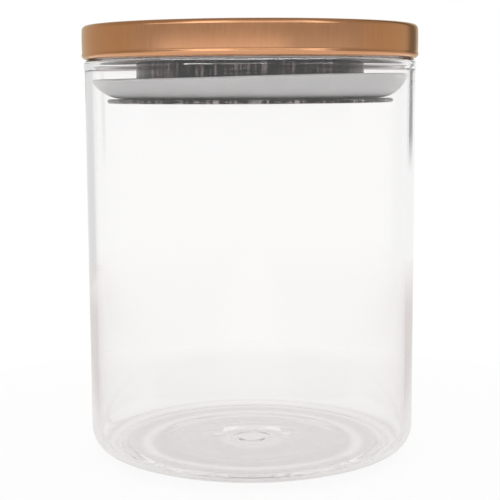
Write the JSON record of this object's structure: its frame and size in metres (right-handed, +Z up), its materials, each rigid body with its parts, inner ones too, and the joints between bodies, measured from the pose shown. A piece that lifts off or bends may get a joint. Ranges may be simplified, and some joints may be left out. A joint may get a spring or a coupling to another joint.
{
  "type": "lidded glass canister",
  "caption": "Straight clear glass storage jar with a copper-coloured metal cap whose steel neck carries a silicone seal and a plate into the mouth.",
  "frame": {"origin": "centre of the jar's foot, on the plane it stands on", "axes": "+Z up the jar's axis towards the cap; the canister is round, so X and Y are interchangeable"},
  "size_m": [0.1024, 0.1024, 0.1311],
  "materials": {
    "clear_glass": "clear, fire-polished",
    "copper_finish": "satin copper plate, finely brushed",
    "moulded_core": "moulded matt",
    "pressed_steel": "bright rolled stainless",
    "silicone": "translucent white, smooth",
    "zinc_hardware": "zinc plated"
  },
  "bodies": {
    "jar": {"glass_jar": "clear_glass"},
    "lid": {"lid_cap": "copper_finish", "core_disc": "moulded_core", "under_pan": "pressed_steel", "neck_drum": "pressed_steel", "seal_ring": "silicone", "bottom_plate": "pressed_steel", "stud_washers": "zinc_hardware", "stud_nuts": "zinc_hardware"}
  },
  "joints": [
    {"name": "lid_lift", "type": "slide", "parent": "jar", "child": "lid", "axis": [0, 0, 1], "range_m": [0, 0.1]}
  ]
}
